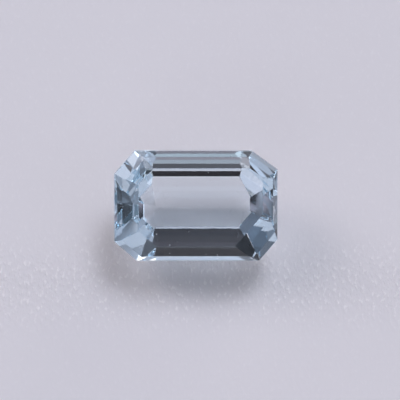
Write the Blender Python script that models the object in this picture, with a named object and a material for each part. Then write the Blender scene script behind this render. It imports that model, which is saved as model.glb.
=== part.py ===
"""A loose aquamarine in the emerald cut: a stepped octagon with a table, a girdle and a keel.

The stone is one piece of beryl. It is cut here as a gem cutter cuts it: a block of rough is
trimmed with one flat plane for each facet, first the girdle, then the steps of the crown above
it and the steps of the pavilion below it, and last the table. The cut stone is then turned to
lie as a keeled stone lies when it is put down: on the long facet beside its keel.

Metres, +Z up. The origin is on the surface that the stone lies on, under the middle of its
bounding box. The stone's length runs along X, and its table leans towards -Y.
"""

import math
from itertools import zip_longest
from typing import NamedTuple

import bmesh
import bpy
from mathutils import Matrix, Vector

MM = 0.001

# The stone, in its own cutting frame: X along it, Y across it, Z up through the table, and the
# girdle's upper edge in the plane Z = 0.
GIRDLE_THICKNESS = 0.39 * MM
TABLE_HEIGHT = 1.08 * MM
ROUGH_SIZE = 24.0 * MM


class Side(NamedTuple):
    """One side of the stone, with lengths in millimetres and angles in degrees.

    It faces azimuth, and its girdle face is reach away from the stone's axis. The slopes are
    those of its facets from the girdle inwards, measured from the girdle's plane. The widths are
    the facets' widths in plan; the innermost facet has none, because it runs on until it meets
    the others.
    """

    azimuth: float
    reach: float
    crown_slopes: tuple
    crown_widths: tuple
    pavilion_slopes: tuple
    pavilion_widths: tuple


# The cut is a little uneven, as in most hand-cut stones, so each side has its own steps.
SIDES = {
    "east": Side(0, 5.99, (65.4, 25.6), (0.33,), (67.0, 48.6, 23.7), (0.78, 1.24)),
    "north_east": Side(53.9, 5.70, (51.8, 45.6), (0.22,), (47.3, 45.1), (1.90,)),
    "north": Side(90, 4.06, (53.1, 37.2), (0.38,), (58.3, 44.8, 27.0), (0.50, 1.57)),
    "north_west": Side(138.8, 6.07, (34.0, 27.5), (0.88,), (45.1, 42.0, 32.6), (2.36, 0.33)),
    "west": Side(180, 6.01, (35.6, 28.5), (0.59,), (61.7, 50.5, 30.8), (0.61, 1.55)),
    "south_west": Side(229.4, 5.95, (38.9, 26.5), (0.47,), (49.9, 35.4), (2.45,)),
    "south": Side(270, 4.08, (52.6, 35.0), (0.39,), (54.6, 51.3, 21.4), (1.66, 0.58)),
    "south_east": Side(319.6, 6.19, (36.9, 23.1), (0.52,), (50.6, 49.2, 37.5), (1.75, 0.84)),
}
REST_SIDE = "south"
CUT_TOLERANCE = 1e-9

AQUAMARINE_COLOUR = (0.62, 0.80, 0.90, 1.0)
AQUAMARINE_IOR = 1.577


def clear_scene():
    for obj in list(bpy.data.objects):
        bpy.data.objects.remove(obj)


def cut(rough, point, normal):
    """Removes what lies beyond the plane, and closes the stone with the new facet."""
    whole = rough.verts[:] + rough.edges[:] + rough.faces[:]
    made = bmesh.ops.bisect_plane(
        rough,
        geom=whole,
        dist=CUT_TOLERANCE,
        plane_co=point,
        plane_no=normal,
        clear_outer=True,
    )
    rim = [item for item in made["geom_cut"] if isinstance(item, bmesh.types.BMEdge)]
    bmesh.ops.contextual_create(rough, geom=rim)


def facet_normal(azimuth, slope, up):
    """Outward normal of a facet that leans by slope degrees; up is 1 on the crown, -1 below."""
    lean = math.radians(slope)
    turn = math.radians(azimuth)
    outward = math.sin(lean)
    return Vector((outward * math.cos(turn), outward * math.sin(turn), up * math.cos(lean)))


def cut_steps(rough, side, slopes, widths, start_height, up):
    """Cuts one side's steps, each starting where the one outside it ends."""
    outward = facet_normal(side.azimuth, 90, up)
    reach = side.reach * MM
    height = start_height
    for slope, width in zip_longest(slopes, widths, fillvalue=0.0):
        foot = outward * reach + Vector((0, 0, height))
        cut(rough, foot, facet_normal(side.azimuth, slope, up))
        reach -= width * MM
        height += up * width * MM * math.tan(math.radians(slope))


def cut_stone():
    """The whole cut stone, in its cutting frame."""
    rough = bmesh.new()
    bmesh.ops.create_cube(rough, size=ROUGH_SIZE)
    for side in SIDES.values():
        outward = facet_normal(side.azimuth, 90, 1)
        cut(rough, outward * side.reach * MM, outward)
        cut_steps(rough, side, side.crown_slopes, side.crown_widths, 0.0, 1)
        cut_steps(
            rough, side, side.pavilion_slopes, side.pavilion_widths, -GIRDLE_THICKNESS, -1
        )
    cut(rough, Vector((0, 0, TABLE_HEIGHT)), Vector((0, 0, 1)))
    mesh = bpy.data.meshes.new("aquamarine")
    rough.to_mesh(mesh)
    rough.free()
    return mesh


def resting_turn():
    """Rotation that brings the rest facet, the innermost one of its side, face down."""
    side = SIDES[REST_SIDE]
    down = facet_normal(side.azimuth, side.pavilion_slopes[-1], -1)
    return down.rotation_difference(Vector((0, 0, -1))).to_matrix().to_4x4()


def lay_down(stone, mesh):
    """Turns the stone onto its rest facet and centres it over the origin."""
    turn = resting_turn()
    corners = [turn @ vertex.co for vertex in mesh.vertices]
    lowest = Vector(min(corner[axis] for corner in corners) for axis in range(3))
    highest = Vector(max(corner[axis] for corner in corners) for axis in range(3))
    middle = (lowest + highest) / 2
    stone.matrix_world = Matrix.Translation((-middle.x, -middle.y, -lowest.z)) @ turn


def clear_beryl():
    material = bpy.data.materials.new("clear_beryl")
    material.use_nodes = True
    shader = material.node_tree.nodes["Principled BSDF"]
    shader.inputs["Base Color"].default_value = AQUAMARINE_COLOUR
    shader.inputs["Roughness"].default_value = 0.0
    shader.inputs["Metallic"].default_value = 0.0
    shader.inputs["IOR"].default_value = AQUAMARINE_IOR
    shader.inputs["Transmission Weight"].default_value = 1.0
    return material


def main():
    clear_scene()
    mesh = cut_stone()
    mesh.materials.append(clear_beryl())
    stone = bpy.data.objects.new("aquamarine", mesh)
    lay_down(stone, mesh)
    gem = bpy.data.collections.new("emerald_cut_aquamarine")
    bpy.context.scene.collection.children.link(gem)
    gem.objects.link(stone)


main()
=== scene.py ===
"""A loose aquamarine in the emerald cut, lying on a sheet of soft white foam under studio light.

Metres, +Z up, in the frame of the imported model.
"""

import math

import bmesh
import bpy
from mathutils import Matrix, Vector


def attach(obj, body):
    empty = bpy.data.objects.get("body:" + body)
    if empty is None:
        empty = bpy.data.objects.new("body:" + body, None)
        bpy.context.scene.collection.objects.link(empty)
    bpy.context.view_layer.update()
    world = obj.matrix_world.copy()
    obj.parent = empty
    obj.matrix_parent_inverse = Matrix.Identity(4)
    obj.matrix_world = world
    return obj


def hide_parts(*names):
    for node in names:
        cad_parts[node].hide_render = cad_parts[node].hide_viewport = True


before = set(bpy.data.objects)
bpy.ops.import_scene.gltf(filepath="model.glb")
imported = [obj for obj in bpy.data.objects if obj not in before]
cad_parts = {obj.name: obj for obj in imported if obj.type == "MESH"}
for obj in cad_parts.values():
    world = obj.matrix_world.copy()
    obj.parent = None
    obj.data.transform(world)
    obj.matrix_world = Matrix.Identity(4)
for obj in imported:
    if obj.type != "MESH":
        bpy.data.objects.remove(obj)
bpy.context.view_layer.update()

# ---------------------------------------------------------------------------------------------
# The cut stone: one piece of pale blue beryl, ground on a lap to a girdle, a stepped crown with
# a table above it and a stepped pavilion below it. Every facet is polished, and the edges
# between them are worn round by about two hundredths of a millimetre.
# ---------------------------------------------------------------------------------------------

MM = 0.001
WELD_GAP = 0.002 * MM
FLAT_ANGLE = math.radians(0.2)
EDGE_ROUNDING = 0.018 * MM
EDGE_STEPS = 2
EDGE_PROFILE = 0.5

BERYL_IOR = 1.577
BERYL_TINT = (0.08, 0.66, 0.96, 1.0)
BERYL_DEPTH = 21.0
POLISH_SIZE = 0.35 * MM
POLISH_DETAIL = 2.0
POLISH_HEIGHT = 0.0006 * MM
POLISH_ROUGHNESS = 0.01
FILM_SIZE = 1.8 * MM
FILM_DETAIL = 4.0
FILM_THIN = 0.5
FILM_THICK = 0.8
CLEAN_TINT = (1.0, 1.0, 1.0, 1.0)
FILM_TINT = (0.965, 0.975, 0.985, 1.0)
SPECK_SPACING = 0.9 * MM
SPECK_RADIUS = 0.055 * MM
SPECK_EDGE = 0.6
SPECK_COLOUR = (0.95, 0.95, 0.95, 1.0)

cut_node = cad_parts["aquamarine"]
stone_mesh = cut_node.data.copy()
stone_mesh.name = "cut_stone"

facets = bmesh.new()
facets.from_mesh(stone_mesh)
bmesh.ops.remove_doubles(facets, verts=facets.verts, dist=WELD_GAP)
bmesh.ops.dissolve_limit(facets, angle_limit=FLAT_ANGLE, verts=facets.verts, edges=facets.edges)
bmesh.ops.bevel(
    facets,
    geom=facets.edges[:],
    offset=EDGE_ROUNDING,
    offset_type="OFFSET",
    segments=EDGE_STEPS,
    profile=EDGE_PROFILE,
    affect="EDGES",
    clamp_overlap=True,
)
bmesh.ops.recalc_face_normals(facets, faces=facets.faces)
facets.to_mesh(stone_mesh)
facets.free()
stone_mesh.update()

stone = bpy.data.objects.new("cut_stone", stone_mesh)
bpy.context.scene.collection.objects.link(stone)

clear_beryl = bpy.data.materials.new("clear_beryl")
clear_beryl.use_nodes = True
nodes = clear_beryl.node_tree.nodes
links = clear_beryl.node_tree.links
shader = nodes["Principled BSDF"]
shader.inputs["IOR"].default_value = BERYL_IOR

# The polish leaves a waviness far too fine to feel, and fingers leave a faint uneven film.
place = nodes.new("ShaderNodeTexCoord")
polish = nodes.new("ShaderNodeTexNoise")
polish.inputs["Scale"].default_value = 1.0 / POLISH_SIZE
polish.inputs["Detail"].default_value = POLISH_DETAIL
links.new(place.outputs["Object"], polish.inputs["Vector"])
film = nodes.new("ShaderNodeTexNoise")
film.inputs["Scale"].default_value = 1.0 / FILM_SIZE
film.inputs["Detail"].default_value = FILM_DETAIL
links.new(place.outputs["Object"], film.inputs["Vector"])
dull = nodes.new("ShaderNodeMapRange")
dull.inputs["From Min"].default_value = FILM_THIN
dull.inputs["From Max"].default_value = FILM_THICK
dull.inputs["To Max"].default_value = POLISH_ROUGHNESS
links.new(film.outputs["Fac"], dull.inputs["Value"])
links.new(dull.outputs["Result"], shader.inputs["Roughness"])
waves = nodes.new("ShaderNodeBump")
waves.inputs["Distance"].default_value = POLISH_HEIGHT
links.new(polish.outputs["Fac"], waves.inputs["Height"])
links.new(waves.outputs["Normal"], shader.inputs["Normal"])
clean = nodes.new("ShaderNodeMixRGB")
clean.inputs["Color1"].default_value = CLEAN_TINT
clean.inputs["Color2"].default_value = FILM_TINT
links.new(film.outputs["Fac"], clean.inputs["Fac"])

# A few specks of dust stick to the facets: small white dots that light doesn't pass.
dots = nodes.new("ShaderNodeTexVoronoi")
dots.inputs["Scale"].default_value = 1.0 / SPECK_SPACING
links.new(place.outputs["Object"], dots.inputs["Vector"])
speck = nodes.new("ShaderNodeMapRange")
speck.inputs["From Min"].default_value = SPECK_EDGE * SPECK_RADIUS / SPECK_SPACING
speck.inputs["From Max"].default_value = SPECK_RADIUS / SPECK_SPACING
speck.inputs["To Min"].default_value = 1.0
speck.inputs["To Max"].default_value = 0.0
links.new(dots.outputs["Distance"], speck.inputs["Value"])
dusty = nodes.new("ShaderNodeMixRGB")
dusty.inputs["Color2"].default_value = SPECK_COLOUR
links.new(speck.outputs["Result"], dusty.inputs["Fac"])
links.new(clean.outputs["Color"], dusty.inputs["Color1"])
links.new(dusty.outputs["Color"], shader.inputs["Base Color"])
through = nodes.new("ShaderNodeMath")
through.operation = "SUBTRACT"
through.inputs[0].default_value = 1.0
links.new(speck.outputs["Result"], through.inputs[1])
links.new(through.outputs["Value"], shader.inputs["Transmission Weight"])

depth = nodes.new("ShaderNodeVolumeAbsorption")
depth.inputs["Color"].default_value = BERYL_TINT
depth.inputs["Density"].default_value = BERYL_DEPTH
links.new(depth.outputs["Volume"], nodes["Material Output"].inputs["Volume"])

stone.data.materials.clear()
stone.data.materials.append(clear_beryl)
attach(stone, "root")
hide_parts("aquamarine")

# ---------------------------------------------------------------------------------------------
# The sheet that it lies on: soft white packing foam, much larger than the stone. Light spreads
# inside it for a millimetre or two, and its skin has a fine upright grain.
# ---------------------------------------------------------------------------------------------

SHEET_SIZE = 3.0
SHEET_GAP = 0.04 * MM
FOAM_SKIN = (0.85, 0.85, 0.86, 1.0)
# Painted highlight: the white painted onto the highest grain crests, where light would catch them.
CREST_HIGHLIGHT = (1.0, 1.0, 1.0, 1.0)
FOAM_SPREAD = 2.0 * MM
FOAM_GLOW = 0.8
FOAM_ROUGHNESS = 0.8
FOAM_GLOSS = 0.3
GRAIN_SIZE = 0.26 * MM
GRAIN_STRETCH = 0.55
GRAIN_DETAIL = 2.5
GRAIN_ROUGHNESS = 0.55
GRAIN_HEIGHT = 0.18 * MM
HIGHLIGHT_CONTRAST = 9.0
CREST_LEVEL = 0.57
GRAIN_LINE = -5.0 * MM
GRAIN_REACH = 4.5 * MM
GRAIN_FLOOR = 0.12

bpy.ops.mesh.primitive_plane_add(size=SHEET_SIZE, location=(0.0, 0.0, -SHEET_GAP))
sheet = bpy.context.object
sheet.name = "foam_sheet"
foam = bpy.data.materials.new("white_foam")
foam.use_nodes = True
nodes = foam.node_tree.nodes
links = foam.node_tree.links
shader = nodes["Principled BSDF"]
shader.inputs["Roughness"].default_value = FOAM_ROUGHNESS
shader.inputs["Specular IOR Level"].default_value = FOAM_GLOSS
shader.inputs["Subsurface Weight"].default_value = FOAM_GLOW
shader.inputs["Subsurface Radius"].default_value = (1.0, 1.0, 1.0)
shader.inputs["Subsurface Scale"].default_value = FOAM_SPREAD

place = nodes.new("ShaderNodeTexCoord")
stretch = nodes.new("ShaderNodeMapping")
stretch.inputs["Scale"].default_value = (1.0 / GRAIN_SIZE, GRAIN_STRETCH / GRAIN_SIZE, 1.0 / GRAIN_SIZE)
links.new(place.outputs["Object"], stretch.inputs["Vector"])
grain = nodes.new("ShaderNodeTexNoise")
grain.inputs["Scale"].default_value = 1.0
grain.inputs["Detail"].default_value = GRAIN_DETAIL
grain.inputs["Roughness"].default_value = GRAIN_ROUGHNESS
links.new(stretch.outputs["Vector"], grain.inputs["Vector"])

# The skin is roughest in a band along X in front of the stone and smoother away from it.
split = nodes.new("ShaderNodeSeparateXYZ")
links.new(place.outputs["Object"], split.inputs["Vector"])
away = nodes.new("ShaderNodeMath")
away.operation = "SUBTRACT"
away.inputs[1].default_value = GRAIN_LINE
links.new(split.outputs["Y"], away.inputs[0])
far = nodes.new("ShaderNodeMath")
far.operation = "ABSOLUTE"
links.new(away.outputs["Value"], far.inputs[0])
fade = nodes.new("ShaderNodeMapRange")
fade.interpolation_type = "SMOOTHSTEP"
fade.inputs["From Min"].default_value = 0.0
fade.inputs["From Max"].default_value = GRAIN_REACH
fade.inputs["To Min"].default_value = 1.0
fade.inputs["To Max"].default_value = GRAIN_FLOOR
links.new(far.outputs["Value"], fade.inputs["Value"])

# Painted highlight: the highest crests of the grain are painted whiter than the rest of the skin, as if
# light caught them.
highlight_contrast = nodes.new("ShaderNodeMath")
highlight_contrast.operation = "MULTIPLY"
highlight_contrast.inputs[1].default_value = HIGHLIGHT_CONTRAST
links.new(fade.outputs["Result"], highlight_contrast.inputs[0])
spread = nodes.new("ShaderNodeMath")
spread.operation = "SUBTRACT"
spread.inputs[1].default_value = CREST_LEVEL
links.new(grain.outputs["Fac"], spread.inputs[0])
# Painted highlight on the grain crests, strongest in the band in front of the stone.
crest_highlight = nodes.new("ShaderNodeMath")
crest_highlight.operation = "MULTIPLY"
crest_highlight.use_clamp = True
links.new(spread.outputs["Value"], crest_highlight.inputs[0])
links.new(highlight_contrast.outputs["Value"], crest_highlight.inputs[1])
paint = nodes.new("ShaderNodeMixRGB")
paint.inputs["Color1"].default_value = FOAM_SKIN
paint.inputs["Color2"].default_value = CREST_HIGHLIGHT
links.new(crest_highlight.outputs["Value"], paint.inputs["Fac"])
links.new(paint.outputs["Color"], shader.inputs["Base Color"])
relief = nodes.new("ShaderNodeBump")
relief.inputs["Distance"].default_value = GRAIN_HEIGHT
links.new(fade.outputs["Result"], relief.inputs["Strength"])
links.new(grain.outputs["Fac"], relief.inputs["Height"])
links.new(relief.outputs["Normal"], shader.inputs["Normal"])
sheet.data.materials.append(foam)

# ---------------------------------------------------------------------------------------------
# The studio: soft diffusers hung far round the stone, brightest behind it. Each glows from its
# middle outwards and is half as bright at its half width. Azimuth 0 is +X, and azimuth 90 is
# +Y, behind the stone.
# ---------------------------------------------------------------------------------------------

BACKDROP = (0.57, 0.56, 0.63, 1.0)
LIGHT_BOUNCES = 24
SOFT_LIGHTS = {
    # azimuth, elevation and half width in degrees, then brightness in red, green and blue
    "back_window": (66, 48, 9, 12.8, 13.0, 15.1),
    "back_left_window": (142, 34, 10, 7.2, 6.2, 6.3),
    "back_lamp": (60, 14, 9, 3.8, 3.5, 3.3),
    "back_right_lamp": (28, 26, 10, 1.0, 0.95, 1.05),
    "back_horizon": (82, 0, 9, 0.9, 1.05, 1.3),
    "back_left_curtain": (161, 26, 14, 0.2, 0.25, 0.35),
    "right_wall": (348, 40, 25, 0.51, 0.54, 0.66),
    "front_left_wall": (216, 2, 21, 0.70, 0.74, 0.90),
    "front_left_lamp": (222, 38, 9, 0.25, 0.20, 0.20),
    "front_wall": (254, 34, 11, 1.2, 1.3, 1.45),
    "front_ceiling": (283, 64, 9, 0.48, 0.38, 0.44),
}

world = bpy.data.worlds.new("studio")
bpy.context.scene.world = world
world.use_nodes = True
nodes = world.node_tree.nodes
links = world.node_tree.links
look = nodes.new("ShaderNodeTexCoord")


def soft_light(azimuth, elevation, half_width, red, green, blue):
    """The coloured glow of one diffuser in every direction, as a socket."""
    level = math.cos(math.radians(elevation))
    towards = nodes.new("ShaderNodeVectorMath")
    towards.operation = "DOT_PRODUCT"
    towards.inputs[1].default_value = (
        level * math.cos(math.radians(azimuth)),
        level * math.sin(math.radians(azimuth)),
        math.sin(math.radians(elevation)),
    )
    links.new(look.outputs["Generated"], towards.inputs[0])
    focus = math.log(2) / (1 - math.cos(math.radians(half_width)))
    fall = nodes.new("ShaderNodeMath")
    fall.operation = "MULTIPLY_ADD"
    fall.inputs[1].default_value = focus
    fall.inputs[2].default_value = -focus
    links.new(towards.outputs["Value"], fall.inputs[0])
    glow = nodes.new("ShaderNodeMath")
    glow.operation = "EXPONENT"
    links.new(fall.outputs["Value"], glow.inputs[0])
    strong = nodes.new("ShaderNodeVectorMath")
    strong.operation = "SCALE"
    strong.inputs["Vector"].default_value = (red, green, blue)
    links.new(glow.outputs["Value"], strong.inputs["Scale"])
    return strong.outputs["Vector"]


glow_sum = None
for settings in SOFT_LIGHTS.values():
    glow_of_one = soft_light(*settings)
    if glow_sum is None:
        glow_sum = glow_of_one
        continue
    both = nodes.new("ShaderNodeVectorMath")
    both.operation = "ADD"
    links.new(glow_sum, both.inputs[0])
    links.new(glow_of_one, both.inputs[1])
    glow_sum = both.outputs["Vector"]

lamps = nodes["Background"]
links.new(glow_sum, lamps.inputs["Color"])
backdrop = nodes.new("ShaderNodeBackground")
backdrop.inputs["Color"].default_value = BACKDROP
path = nodes.new("ShaderNodeLightPath")
choose = nodes.new("ShaderNodeMixShader")
links.new(path.outputs["Is Camera Ray"], choose.inputs["Fac"])
links.new(lamps.outputs["Background"], choose.inputs[1])
links.new(backdrop.outputs["Background"], choose.inputs[2])
links.new(choose.outputs["Shader"], nodes["World Output"].inputs["Surface"])

scene = bpy.context.scene
scene.view_settings.view_transform = "Standard"
scene.cycles.max_bounces = LIGHT_BOUNCES
scene.cycles.glossy_bounces = LIGHT_BOUNCES
scene.cycles.transmission_bounces = LIGHT_BOUNCES

# ---------------------------------------------------------------------------------------------
# The camera: a long lens held far back, so that the stone's sides hardly converge. It looks
# steeply down from the near side, almost square to the leaning table.
# ---------------------------------------------------------------------------------------------

CAMERA_ELEVATION = math.radians(76.84)
CAMERA_DISTANCE = 0.60
SENSOR_WIDTH = 36.0
NEAREST_SEEN = 0.01
VIEW_WIDTH = 29.43 * MM
GIRDLE_CENTRE = Vector((0.01 * MM, -0.0618 * MM, 3.8833 * MM))
AIM_RIGHT = 0.294 * MM
AIM_UP = 0.417 * MM

back = Vector((0.0, -math.cos(CAMERA_ELEVATION), math.sin(CAMERA_ELEVATION)))
up = Vector((0.0, math.sin(CAMERA_ELEVATION), math.cos(CAMERA_ELEVATION)))
aim = GIRDLE_CENTRE + Vector((AIM_RIGHT, 0.0, 0.0)) + up * AIM_UP
camera_data = bpy.data.cameras.new("camera")
camera_data.sensor_width = SENSOR_WIDTH
camera_data.lens = SENSOR_WIDTH * CAMERA_DISTANCE / VIEW_WIDTH
camera_data.clip_start = NEAREST_SEEN
camera = bpy.data.objects.new("camera", camera_data)
camera.location = aim + back * CAMERA_DISTANCE
camera.rotation_mode = "QUATERNION"
camera.rotation_quaternion = (-back).to_track_quat("-Z", "Y")
bpy.context.scene.collection.objects.link(camera)
bpy.context.scene.camera = camera
